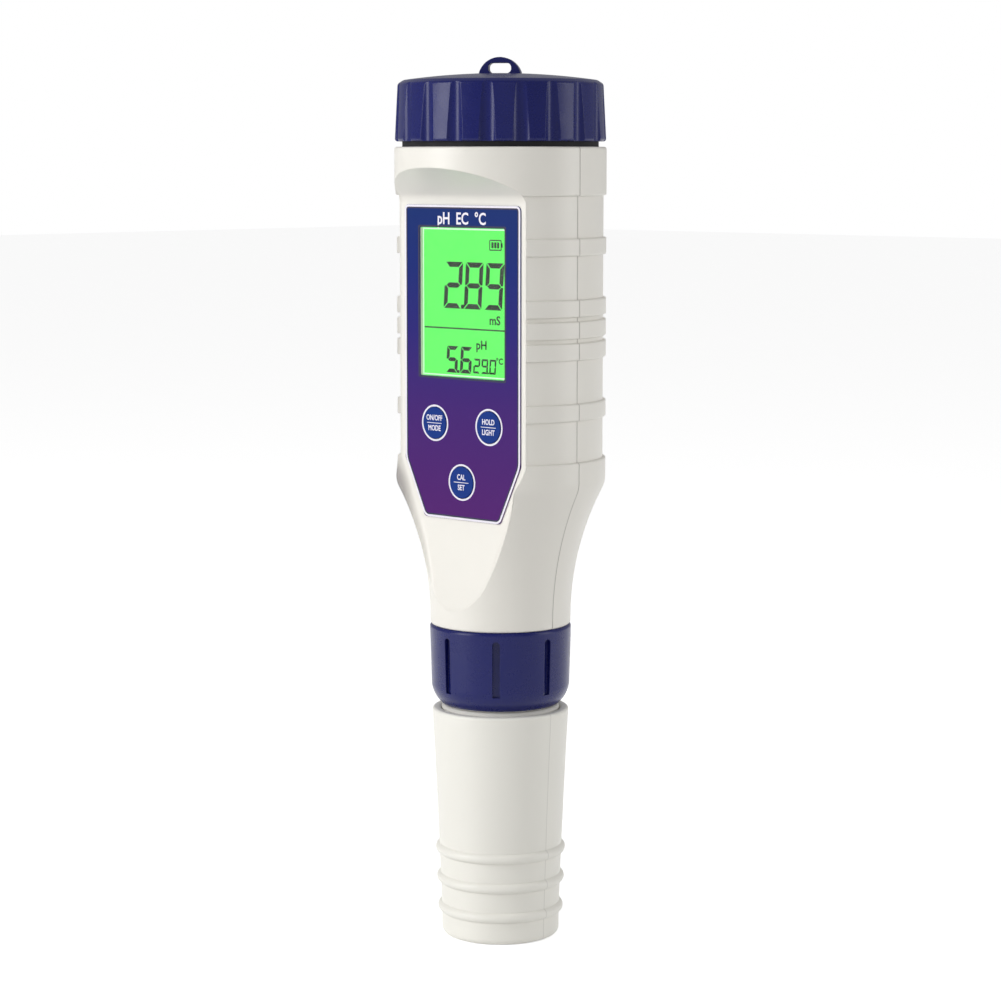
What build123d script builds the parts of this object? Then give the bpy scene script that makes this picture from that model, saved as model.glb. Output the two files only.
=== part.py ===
from build123d import *
from math import acos, degrees
import os

os.makedirs("parts", exist_ok=True)

# Pen type water tester, in millimetres, standing on its protective cap.
# +Z runs up the axis, the display faces -Y and +X is the viewer's right.

# Protective cap over the sensors
cap_height = 44.5
cap_tip_radius = 11.3
cap_tip_level = 3.0
cap_middle_radius = 12.0
cap_middle_level = 22.0
cap_rim_radius = 13.1
cap_wall = 1.7
cap_floor = 2.0
cap_base_round = 1.2
cap_rib_count = 3
cap_rib_first = 5.4
cap_rib_pitch = 5.78
cap_rib_height = 2.0
cap_rib_proud = 0.72
cap_rim_round = 0.5

# Locking collar
collar_gap = 0.9
collar_height = 15.4
collar_top_radius = 13.55
collar_low_radius = 13.2
collar_nose_radius = 11.2
collar_nose_height = 3.6
collar_nose_round = 5.8
collar_bend_round = 2.0
collar_rim_round = 0.6
collar_ledge_height = 4.3
collar_slot_count = 8
collar_slot_turn = -5.5
collar_slot_width = 1.4
collar_slot_depth = 0.7
collar_slot_low = 3.0
collar_slot_high = 13.7

# Housing outside
housing_height = 90.6
neck_radius = 13.45
neck_height = 1.2
flare_radius = 55.0
flare_round = 5.0
grip_radius = 20.0
grip_sink = 0.55
grip_middle = 56.85
grip_half_height = 24.7
band_height = 3.2
band_near = 4.0
band_far = 15.3
band_round = 0.3
housing_wall = 2.0
edge_round = 0.5

# Recess and scoop in the front
flat_depth = 10.4
flat_half_width = 17.0
flat_low = 31.6
flat_high = 81.0
arch_reach = 10.0
arch_rise = 5.9
arch_radius = 40.0
arch_root = 2.5
scoop_start = 19.2
scoop_radius = 42.0
scoop_end_radius = 8.4
scoop_end_level = 11.4
recess_root = 1.6
panel_wall = 2.0

# Label, window and buttons
label_thickness = 0.25
label_half_width = 14.9
label_foot_half_width = 9.75
label_top = 79.8
label_taper_level = 31.7
label_foot_level = 20.7
label_corner = 1.0
window_half_width = 10.95
window_half_height = 14.0
window_level = 61.6
window_corner = 0.4
window_thickness = 0.8
button_radius = 3.0
button_proud = 0.2
button_flange_radius = 3.6
button_flange_thickness = 0.7
button_plunger_radius = 1.4
button_travel = 0.3
button_spread = 7.0
button_level = 38.7
lower_button_level = 27.85

# Display stack and circuit board
lcd_front_thickness = 1.45
lcd_back_thickness = 1.1
lcd_half_width = 12.0
backlight_margin = 0.5
strip_height = 2.2
frame_wall = 1.2
board_face = 3.4
board_thickness = 1.6
board_half_width = 13.4
board_top = 84.6
board_shoulder = 19.4
board_tail = 9.2
board_tail_half_width = 6.0
board_screw_spread = 10.4
board_screw_low = 23.8
board_screw_high = 82.3
boss_radius = 1.9
screw_radius = 0.85
screw_head_radius = 1.7
screw_head_height = 1.1
screw_length = 5.0
switch_size = 5.2
switch_height = 1.6
switch_stem_radius = 0.9
switch_stem_length = 1.2
chip_thickness = 1.4
peg_spread = 15.6
peg_low = 36.2
peg_high = 75.2
peg_post_radius = 1.6
peg_post_length = 8.6
peg_radius = 0.8
peg_length = 2.0
rib_low_level = 44.0
rib_high_level = 68.0
rib_width = 1.2
rib_height = 1.4

# Battery end
spigot_radius = 16.6
spigot_height = 7.0
tray_radius = 14.4
tray_height = 9.2
tray_floor = 1.0
tray_sink = 3.2
tray_ledge = 1.8
ledge_thickness = 1.2
cell_radius = 5.8
cell_height = 5.4
cell_spread = 6.2
contact_thickness = 0.3
contact_radius = 4.6
contact_leg_width = 2.0

# Battery cap
seal_gap = 1.0
seal_radius = 18.5
battery_cap_height = 12.7
battery_cap_low_radius = 19.9
battery_cap_high_radius = 19.35
battery_cap_bevel = 2.0
battery_cap_dome_radius = 18.26
battery_cap_dome_rise = 1.3
battery_cap_bevel_rise = 0.7
battery_cap_dome_sphere = 130.0
battery_cap_round = 0.8
battery_cap_top = 1.7
scallop_count = 20
scallop_width = 3.3
scallop_depth = 0.8
contact_plate_radius = 12.4
contact_plate_thickness = 0.5
plate_boss_radius = 4.0
loop_radius = 4.1
loop_sink = 1.1
loop_width = 2.6
loop_turn = 36.0
loop_hole_width = 4.3
loop_hole_height = 1.9
loop_strap = 1.1

# Probe
neck_spigot_radius = 11.3
neck_spigot_wall = 2.1
probe_flange_thickness = 3.0
probe_ring_radius = 10.7
probe_ring_length = 10.0
probe_guard_radius = 9.3
probe_guard_wall = 1.6
probe_chamber_depth = 12.0
probe_window_count = 4
probe_window_width = 5.0
probe_window_height = 7.4
probe_window_low = 2.6
probe_tip_room = 5.9
probe_tip_round = 0.5
probe_step = 1.4
wire_reach = 1.2
sensor_recess = 4.6
sensor_seat = 6.0
seal_section = 0.75
cap_seal_level = 4.6
plug_seal_level = 4.2
socket_floor = 1.4
socket_height = 3.0
socket_radius = 10.4
socket_block_radius = 7.0
pin_radius = 0.4
pin_circle = 4.5
pin_count = 6
pin_reach = 3.6
bulb_radius = 2.9
bulb_wall = 0.4
bulb_stem_radius = 2.0
bulb_place = 3.4
wire_radius = 0.3
junction_radius = 1.3
temperature_radius = 1.2
side_sensor_x = 4.6
side_sensor_y = -1.6
conductivity_radius = 0.6
conductivity_spread = 1.7
conductivity_place = -4.8
sponge_height = 5.5

# Clearances
running_gap = 0.1
thread_gap = 0.45
seat_gap = 0.05
loose_gap = 0.2

# Levels, stacked from the bottom of the protective cap
sponge_top = cap_floor + seat_gap + sponge_height
guard_tip = sponge_top + probe_tip_room
collar_bottom = cap_height + collar_gap
housing_bottom = collar_bottom + collar_height
housing_top = housing_bottom + housing_height
battery_cap_bottom = housing_top + seal_gap
battery_cap_crown = battery_cap_bottom + battery_cap_height
flare_start = housing_bottom + neck_height
grip_level = housing_bottom + grip_middle
window_centre = housing_bottom + window_level
panel_back = flat_depth - panel_wall
tray_bottom = housing_top - tray_sink
cells_bottom = tray_bottom + tray_floor + contact_thickness
cells_top = cells_bottom + 2 * cell_height
spigot_bore = tray_radius + loose_gap
neck_bore = neck_spigot_radius - neck_spigot_wall
flange_bottom = collar_bottom + collar_ledge_height + running_gap
flange_top = flange_bottom + probe_flange_thickness
neck_spigot_end = flange_top + running_gap
chamber_roof = guard_tip + probe_chamber_depth
socket_bottom = housing_bottom + socket_floor
board_back = board_face - board_thickness

# Places in the front view
button_places = {
    "left": (-button_spread, housing_bottom + button_level),
    "right": (button_spread, housing_bottom + button_level),
    "lower": (0, housing_bottom + lower_button_level),
}
screw_places = [
    (side * board_screw_spread, housing_bottom + level)
    for side in (-1, 1)
    for level in (board_screw_low, board_screw_high)
]
peg_places = [
    (side * peg_spread, housing_bottom + level)
    for side in (-1, 1)
    for level in (peg_low, peg_high)
]
cell_places = [(-cell_spread, 0), (cell_spread, 0)]


def front_plane(depth):
    """Plane seen from the front, this far in front of the axis."""
    return Plane.XZ.offset(depth)


def housing_section(inset, low, high):
    """Half section of the flared housing, set in from its outer surface."""
    centre_x = neck_radius + flare_radius
    reach = flare_radius + inset
    side = grip_radius - inset
    sweep = degrees(acos((centre_x - side) / reach))
    with BuildSketch() as section:
        with BuildLine():
            foot = Polyline(
                (0, low), (neck_radius - inset, low), (neck_radius - inset, flare_start)
            )
            flare = CenterArc((centre_x, flare_start), reach, 180, -sweep)
            Polyline(flare @ 1, (side, high), (0, high), foot @ 0)
        make_face()
    return section.sketch


def cap_section(inset, low):
    """Half section of the protective cap, set in from its outer surface."""
    with BuildSketch() as section:
        with BuildLine():
            foot = Polyline(
                (0, low), (cap_tip_radius - inset, low), (cap_tip_radius - inset, cap_tip_level)
            )
            side = ThreePointArc(
                foot @ 1,
                (cap_middle_radius - inset, cap_middle_level),
                (cap_rim_radius - inset, cap_height),
            )
            Polyline(side @ 1, (0, cap_height), foot @ 0)
        make_face()
    return section.sketch


def cap_radius(level):
    """Outer radius of the protective cap at a height."""
    if level < cap_middle_level:
        share = (level - cap_tip_level) / (cap_middle_level - cap_tip_level)
        return cap_tip_radius + share * (cap_middle_radius - cap_tip_radius)
    share = (level - cap_middle_level) / (cap_height - cap_middle_level)
    return cap_middle_radius + share * (cap_rim_radius - cap_middle_radius)


def revolved(*corners):
    """Solid of revolution from a chain of radius and height corners."""
    with BuildPart() as turned:
        with BuildSketch(Plane.XZ):
            with BuildLine():
                Polyline(*corners, close=True)
            make_face()
        revolve(axis=Axis.Z)
    return turned.part


def save(piece, name):
    """Label a finished piece and write it."""
    piece.part.label = name
    export_step(piece.part, f"parts/{name}.step")


# Outer form of the housing, with the grip bands standing in a sunk waist
with BuildPart() as housing_form:
    with BuildSketch(Plane.XZ) as housing_outline:
        add(housing_section(0, housing_bottom, housing_top))
        shoulder = housing_outline.vertices().filter_by(
            lambda v: abs(v.X - grip_radius) < 0.01 and v.Y < housing_top - 1
        )
        fillet(shoulder, flare_round)
        with Locations((grip_radius, grip_level)):
            Rectangle(2 * grip_sink, 2 * grip_half_height, mode=Mode.SUBTRACT)
        band_steps = [-band_far, -band_near, 0, band_near, band_far]
        with Locations([(grip_radius - grip_sink, grip_level + step) for step in band_steps]):
            Rectangle(2 * grip_sink, band_height)
        rims = housing_outline.vertices().filter_by(
            lambda v: abs(v.X - grip_radius) < 0.01
            and abs(v.Y - grip_level) < grip_half_height + 0.01
        )
        fillet(rims, band_round)
        ends = housing_outline.vertices().filter_by(
            lambda v: v.X > 1 and (v.Y < housing_bottom + 0.01 or v.Y > housing_top - 0.01)
        )
        fillet(ends, edge_round)
    revolve(axis=Axis.Z)

# Side view of the recess, drawn flat: arch, flat and scoop
with BuildSketch() as recess_side:
    with BuildLine():
        arch_foot = (-flat_depth, housing_bottom + flat_high)
        arch_end = (-flat_depth - arch_reach, housing_bottom + flat_high + arch_rise)
        RadiusArc(arch_foot, arch_end, -arch_radius)
        flat = Line(arch_foot, (-flat_depth, housing_bottom + scoop_start))
        scoop = JernArc(flat @ 1, (0, -1), scoop_radius, -25)
        Polyline(
            scoop @ 1, (-2 * grip_radius, (scoop @ 1).Y), (-2 * grip_radius, arch_end[1]), arch_end
        )
    make_face()
    root = recess_side.vertices().filter_by(
        lambda v: abs(v.X + flat_depth) < 0.01 and v.Y > housing_bottom + flat_high - 1
    )
    fillet(root, arch_root)

# Recess cutter: the side view, narrowed to a rounded scoop in the front view
with BuildPart() as recess_cutter:
    with BuildSketch(Plane.YZ):
        add(recess_side.sketch)
    extrude(amount=2 * grip_radius, both=True)
    with BuildSketch(Plane.XZ):
        with Locations((0, housing_bottom + scoop_end_level)):
            Circle(scoop_end_radius)
        with Locations((0, housing_bottom + flat_low)):
            Rectangle(
                2 * flat_half_width, housing_height, align=(Align.CENTER, Align.MIN)
            )
        make_hull()
    extrude(amount=3 * grip_radius, mode=Mode.INTERSECT)
    floors = recess_cutter.faces().filter_by(lambda f: f.normal_at(f.center()).Y > 0.2)
    fillet(floors.edges().filter_by(Axis.X, reverse=True), recess_root)

# Hollow of the housing, with a wall left behind the recess
with BuildPart() as housing_hollow:
    with BuildSketch(Plane.XZ):
        add(housing_section(housing_wall, housing_bottom, tray_bottom - ledge_thickness))
    revolve(axis=Axis.Z)
    split(bisect_by=Plane.XY.offset(socket_bottom), keep=Keep.TOP)
    with BuildSketch(Plane.YZ):
        add(recess_side.sketch)
        offset(amount=panel_wall)
    extrude(amount=2 * grip_radius, both=True, mode=Mode.SUBTRACT)

# Both halves of the housing as one, with the spigots for cap and collar
with BuildPart() as housing:
    add(housing_form.part)
    with BuildSketch(Plane.XY.offset(housing_top)):
        Circle(spigot_radius)
    extrude(amount=spigot_height)
    with BuildSketch(Plane.XY.offset(neck_spigot_end)):
        Circle(neck_spigot_radius)
    extrude(amount=housing_bottom - neck_spigot_end)
    add(recess_cutter.part, mode=Mode.SUBTRACT)
    add(housing_hollow.part, mode=Mode.SUBTRACT)
    with BuildSketch(Plane.XY.offset(tray_bottom)):
        Circle(spigot_bore)
    extrude(amount=housing_height, mode=Mode.SUBTRACT)
    with BuildSketch(Plane.XY.offset(tray_bottom - ledge_thickness)):
        Circle(tray_radius - tray_ledge)
    extrude(amount=ledge_thickness, mode=Mode.SUBTRACT)
    with BuildSketch(Plane.XY.offset(neck_spigot_end)):
        Circle(neck_bore)
    extrude(amount=socket_bottom - neck_spigot_end, mode=Mode.SUBTRACT)

# Openings through the front wall for the window and the button stems
with BuildPart() as panel_openings:
    with BuildSketch(front_plane(flat_depth + panel_wall)):
        with Locations((0, window_centre)):
            RectangleRounded(2 * window_half_width, 2 * window_half_height, window_corner)
        with Locations(list(button_places.values())):
            Circle(button_radius + running_gap)
    extrude(amount=-3 * panel_wall)

# Front half: display flat, scoop, openings, board bosses and peg posts
with BuildPart() as front_shell:
    add(housing.part)
    with BuildSketch(front_plane(board_face)):
        with Locations(screw_places):
            Circle(boss_radius)
    extrude(until=Until.NEXT)
    with BuildSketch(front_plane(board_face)):
        with Locations(screw_places):
            Circle(screw_radius + seat_gap)
    extrude(amount=screw_length, mode=Mode.SUBTRACT)
    split(bisect_by=Plane.XZ, keep=Keep.TOP)
    with BuildSketch(Plane.XZ):
        with Locations(peg_places):
            Circle(peg_post_radius)
    extrude(amount=peg_post_length)
    with BuildSketch(Plane.XZ):
        with Locations(peg_places):
            Circle(peg_radius)
    extrude(amount=-peg_length)
    add(panel_openings.part, mode=Mode.SUBTRACT)
save(front_shell, "front_shell")

# Back half: plain outside, two stiffening ribs and the peg sockets inside
with BuildPart() as rear_shell:
    add(housing.part)
    for level in (rib_low_level, rib_high_level):
        with BuildSketch(Plane.XY.offset(housing_bottom + level)):
            Circle(grip_radius - housing_wall)
            Circle(grip_radius - housing_wall - rib_height, mode=Mode.SUBTRACT)
        extrude(amount=rib_width)
    split(bisect_by=Plane.XZ, keep=Keep.BOTTOM)
    with BuildSketch(Plane.XZ):
        with Locations(peg_places):
            Circle(peg_post_radius)
    extrude(amount=-peg_post_length)
    with BuildSketch(Plane.XZ):
        with Locations(peg_places):
            Circle(peg_radius + seat_gap)
    extrude(amount=-peg_length - loose_gap, mode=Mode.SUBTRACT)
save(rear_shell, "rear_shell")

# Label: a thin printed panel with openings for the window and the buttons
with BuildPart() as panel_label:
    with BuildSketch(front_plane(flat_depth)) as label_outline:
        with BuildLine():
            Polyline(
                (-label_half_width, housing_bottom + label_top),
                (-label_half_width, housing_bottom + label_taper_level),
                (-label_foot_half_width, housing_bottom + label_foot_level),
                (label_foot_half_width, housing_bottom + label_foot_level),
                (label_half_width, housing_bottom + label_taper_level),
                (label_half_width, housing_bottom + label_top),
                close=True,
            )
        make_face()
        fillet(label_outline.vertices(), label_corner)
    extrude(amount=label_thickness)
    add(panel_openings.part, mode=Mode.SUBTRACT)
save(panel_label, "panel_label")

# Clear window, flush with the label
window_front = flat_depth + label_thickness
with BuildPart() as display_window:
    with BuildSketch(front_plane(window_front)):
        with Locations((0, window_centre)):
            RectangleRounded(
                2 * (window_half_width - seat_gap),
                2 * (window_half_height - seat_gap),
                window_corner,
            )
    extrude(amount=-window_thickness)
save(display_window, "display_window")

# Display glass: a front sheet in the opening and a wider back sheet behind the wall
lcd_front = window_front - window_thickness - seat_gap
lcd_back = lcd_front - lcd_front_thickness - lcd_back_thickness
backlight_half_height = window_half_height + backlight_margin
lcd_half_height = backlight_half_height + loose_gap + strip_height
with BuildPart() as lcd_panel:
    with BuildSketch(front_plane(lcd_back)):
        with Locations((0, window_centre)):
            Rectangle(2 * lcd_half_width, 2 * lcd_half_height)
    extrude(amount=lcd_back_thickness)
    with BuildSketch(front_plane(lcd_back + lcd_back_thickness)):
        with Locations((0, window_centre)):
            Rectangle(
                2 * (window_half_width - running_gap), 2 * (window_half_height - running_gap)
            )
    extrude(amount=lcd_front_thickness)
save(lcd_panel, "lcd_panel")

# Backlight between the display glass and the board
with BuildPart() as backlight_panel:
    with BuildSketch(front_plane(board_face)):
        with Locations((0, window_centre)):
            Rectangle(
                2 * (window_half_width + backlight_margin), 2 * backlight_half_height
            )
    extrude(amount=lcd_back - seat_gap - board_face)
save(backlight_panel, "backlight_panel")

# Frame that holds the display glass down on the board
with BuildPart() as display_frame:
    with BuildSketch(front_plane(board_face)):
        with Locations((0, window_centre)):
            Rectangle(
                2 * (lcd_half_width + loose_gap + frame_wall),
                2 * (lcd_half_height + loose_gap + frame_wall),
            )
            Rectangle(
                2 * (lcd_half_width + loose_gap),
                2 * (lcd_half_height + loose_gap),
                mode=Mode.SUBTRACT,
            )
    extrude(amount=panel_back - seat_gap - board_face)
save(display_frame, "display_frame")

# Rubber strips that join the display glass to the board
with BuildPart() as contact_strips:
    with BuildSketch(front_plane(board_face)):
        strip_step = backlight_half_height + loose_gap + strip_height / 2
        with Locations((0, window_centre - strip_step), (0, window_centre + strip_step)):
            Rectangle(2 * (lcd_half_width - loose_gap), strip_height - loose_gap)
    extrude(amount=lcd_back - seat_gap - board_face)
save(contact_strips, "contact_strips")

# Circuit board, with a narrow tail down to the probe socket
with BuildPart() as main_board:
    with BuildSketch(front_plane(board_back)) as board_outline:
        with BuildLine():
            Polyline(
                (-board_half_width, housing_bottom + board_top),
                (-board_half_width, housing_bottom + board_shoulder),
                (-board_tail_half_width, housing_bottom + board_shoulder),
                (-board_tail_half_width, housing_bottom + board_tail),
                (board_tail_half_width, housing_bottom + board_tail),
                (board_tail_half_width, housing_bottom + board_shoulder),
                (board_half_width, housing_bottom + board_shoulder),
                (board_half_width, housing_bottom + board_top),
                close=True,
            )
        make_face()
        with Locations(screw_places):
            Circle(screw_radius + loose_gap, mode=Mode.SUBTRACT)
    extrude(amount=board_thickness)
save(main_board, "main_board")

# Packages soldered on the back of the board
with BuildPart() as board_chips:
    for place, width, height in (
        ((0, window_centre), 9, 9),
        ((-6.5, window_centre - 22), 5, 6.2),
        ((6.5, window_centre - 22), 5, 6.2),
        ((7.5, window_centre + 13), 3.4, 7),
    ):
        with BuildSketch(front_plane(board_back)):
            with Locations(place):
                Rectangle(width, height)
        extrude(amount=-chip_thickness)
save(board_chips, "board_chips")

# Screws through the board into the front half
with BuildPart() as board_screws:
    with BuildSketch(front_plane(board_back)):
        with Locations(screw_places):
            Circle(screw_head_radius)
    extrude(amount=-screw_head_height)
    with BuildSketch(front_plane(board_back)):
        with Locations(screw_places):
            Circle(screw_radius)
    extrude(amount=board_thickness + screw_length - loose_gap)
save(board_screws, "board_screws")

# Press switches on the board, each with a well for its stem
with BuildPart() as key_switches:
    with BuildSketch(front_plane(board_face)):
        with Locations(list(button_places.values())):
            Rectangle(switch_size, switch_size)
    extrude(amount=switch_height)
    with BuildSketch(front_plane(board_face + switch_height)):
        with Locations(list(button_places.values())):
            Circle(switch_stem_radius + running_gap)
    extrude(amount=-switch_stem_length, mode=Mode.SUBTRACT)
save(key_switches, "key_switches")

# Buttons with a flange behind the wall, and the switch stems that they press
button_front = flat_depth + label_thickness + button_proud
stem_low = board_face + switch_height - switch_stem_length + button_travel + running_gap
stem_tip = stem_low + switch_stem_length
for side, place in button_places.items():
    with BuildPart() as button:
        with BuildSketch(front_plane(button_front)):
            with Locations(place):
                Circle(button_radius)
        extrude(amount=panel_back - seat_gap - button_front)
        fillet(button.faces().sort_by(Axis.Y)[0].edges(), button_proud / 2)
        with BuildSketch(front_plane(panel_back - seat_gap)):
            with Locations(place):
                Circle(button_flange_radius)
        extrude(amount=-button_flange_thickness)
        with BuildSketch(front_plane(stem_tip)):
            with Locations(place):
                Circle(button_plunger_radius)
        extrude(amount=panel_back - seat_gap - stem_tip)
    save(button, f"button_{side}")
    with BuildPart() as switch_stem:
        with BuildSketch(front_plane(stem_low)):
            with Locations(place):
                Circle(switch_stem_radius)
        extrude(amount=switch_stem_length)
    save(switch_stem, f"switch_stem_{side}")

# Battery carrier, seated in the bore of the upper spigot
with BuildPart() as battery_tray:
    with BuildSketch(Plane.XY.offset(tray_bottom)):
        Circle(tray_radius)
    extrude(amount=tray_height)
    with BuildSketch(Plane.XY.offset(tray_bottom + tray_floor)):
        with Locations(cell_places):
            Circle(cell_radius + running_gap)
        Rectangle(2 * cell_spread, cell_radius)
    extrude(amount=tray_height, mode=Mode.SUBTRACT)
    with BuildSketch(Plane.XY.offset(tray_bottom)):
        with Locations([(x, -(board_face + board_back) / 2) for x, y in cell_places]):
            Rectangle(contact_leg_width + 2 * running_gap, contact_thickness + 2 * running_gap)
    extrude(amount=tray_floor, mode=Mode.SUBTRACT)
save(battery_tray, "battery_tray")

# Four button cells in two stacks
with BuildPart() as button_cells:
    for layer in range(2):
        with BuildSketch(Plane.XY.offset(cells_bottom + layer * cell_height)):
            with Locations(cell_places):
                Circle(cell_radius)
        extrude(amount=cell_height - seat_gap)
save(button_cells, "button_cells")

# Contact plates under the stacks, with legs down to the board
with BuildPart() as battery_contacts:
    with BuildSketch(Plane.XY.offset(tray_bottom + tray_floor)):
        with Locations(cell_places):
            Circle(contact_radius)
    extrude(amount=contact_thickness)
    with BuildSketch(Plane.XY.offset(housing_bottom + board_top)):
        with Locations([(x, -(board_face + board_back) / 2) for x, y in cell_places]):
            Rectangle(contact_leg_width, contact_thickness)
    extrude(amount=tray_bottom + tray_floor - housing_bottom - board_top)
save(battery_contacts, "battery_contacts")

# Ring that seals the battery cap against the housing
with BuildPart() as cap_seal_ring:
    with BuildSketch(Plane.XY.offset(housing_top)):
        Circle(seal_radius)
        Circle(spigot_radius + running_gap, mode=Mode.SUBTRACT)
    extrude(amount=seal_gap)
save(cap_seal_ring, "cap_seal_ring")

# Battery cap: drafted skirt, bevel and dome, with thumb scallops and a cord loop
with BuildPart() as battery_cap:
    with BuildSketch(Plane.XZ) as cap_outline:
        with BuildLine():
            skirt = Polyline(
                (0, battery_cap_bottom),
                (battery_cap_low_radius, battery_cap_bottom),
                (battery_cap_high_radius, battery_cap_crown - battery_cap_bevel),
                (battery_cap_dome_radius, battery_cap_crown - battery_cap_dome_rise),
            )
            dome = RadiusArc(skirt @ 1, (0, battery_cap_crown), -battery_cap_dome_sphere)
            Line(dome @ 1, skirt @ 0)
        make_face()
        bends = cap_outline.vertices().filter_by(
            lambda v: v.X > 1 and v.Y > battery_cap_bottom + 1
        )
        fillet(bends, battery_cap_round)
        foot = cap_outline.vertices().filter_by(
            lambda v: v.X > 1 and v.Y < battery_cap_bottom + 1
        )
        fillet(foot, edge_round)
    revolve(axis=Axis.Z)
    scallop_radius = ((scallop_width / 2) ** 2 + scallop_depth**2) / (2 * scallop_depth)
    with BuildSketch(Plane.XY.offset(battery_cap_bottom)):
        with PolarLocations(
            battery_cap_low_radius - scallop_depth + scallop_radius, scallop_count, start_angle=-90
        ):
            Circle(scallop_radius)
    extrude(amount=battery_cap_height, mode=Mode.SUBTRACT)
    with BuildSketch(Plane.XY.offset(battery_cap_bottom)):
        Circle(spigot_radius + thread_gap)
    extrude(amount=battery_cap_height - battery_cap_top - battery_cap_bevel_rise, mode=Mode.SUBTRACT)
    with BuildSketch(Plane.XY.offset(cells_top + running_gap + contact_plate_thickness)):
        Circle(plate_boss_radius)
    extrude(until=Until.NEXT)
    loop_centre = battery_cap_crown - loop_sink
    loop_plane = Plane(
        origin=(0, 0, loop_centre),
        x_dir=Vector(1, 0, 0).rotate(Axis.Z, loop_turn),
        z_dir=Vector(0, -1, 0).rotate(Axis.Z, loop_turn),
    )
    with BuildSketch(loop_plane) as loop_outline:
        Circle(loop_radius)
        with Locations((0, loop_radius - loop_strap)):
            RectangleRounded(
                loop_hole_width,
                loop_hole_height,
                loop_hole_height * 0.45,
                align=(Align.CENTER, Align.MAX),
                mode=Mode.SUBTRACT,
            )
        with Locations((0, -loop_radius / 2)):
            Rectangle(2 * loop_radius, loop_radius, mode=Mode.SUBTRACT)
    extrude(amount=loop_width / 2, both=True)
save(battery_cap, "battery_cap")

# Plate under the battery cap that bridges the two stacks
with BuildPart() as cap_contact_plate:
    with BuildSketch(Plane.XY.offset(cells_top + running_gap)):
        Circle(contact_plate_radius)
    extrude(amount=contact_plate_thickness)
save(cap_contact_plate, "cap_contact_plate")

# Long slots round the collar, cut to one depth below its side
with BuildPart() as collar_slots:
    slot_floor = collar_low_radius - collar_slot_depth
    with BuildSketch(front_plane(slot_floor)):
        with Locations((0, collar_bottom + collar_slot_low)):
            Rectangle(
                collar_slot_width,
                collar_slot_high - collar_slot_low - collar_slot_width / 2,
                align=(Align.CENTER, Align.MIN),
            )
        with Locations((0, collar_bottom + collar_slot_high - collar_slot_width / 2)):
            Circle(collar_slot_width / 2)
    slot = extrude(amount=collar_top_radius, mode=Mode.PRIVATE)
    with PolarLocations(0, collar_slot_count, start_angle=collar_slot_turn):
        add(slot)

# Locking collar: tapered grip, rounded nose, long slots and an inner ledge
with BuildPart() as locking_collar:
    with BuildSketch(Plane.XZ) as collar_outline:
        with BuildLine():
            side = Polyline(
                (0, housing_bottom),
                (collar_top_radius, housing_bottom),
                (collar_low_radius, collar_bottom + collar_nose_height),
            )
            nose = RadiusArc(side @ 1, (collar_nose_radius, collar_bottom), collar_nose_round)
            Polyline(nose @ 1, (0, collar_bottom), side @ 0)
        make_face()
        bends = collar_outline.vertices().filter_by(lambda v: v.X > 1)
        fillet(bends.sort_by(Axis.Y)[-1], collar_rim_round)
        fillet(bends.sort_by(Axis.Y)[1], collar_bend_round)
    revolve(axis=Axis.Z)
    add(collar_slots.part, mode=Mode.SUBTRACT)
    with BuildSketch(Plane.XY.offset(flange_bottom - running_gap)):
        Circle(neck_spigot_radius + thread_gap)
    extrude(amount=collar_height, mode=Mode.SUBTRACT)
    with BuildSketch(Plane.XY.offset(collar_bottom)):
        Circle(probe_ring_radius + running_gap)
    extrude(amount=collar_height, mode=Mode.SUBTRACT)
save(locking_collar, "locking_collar")

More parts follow.
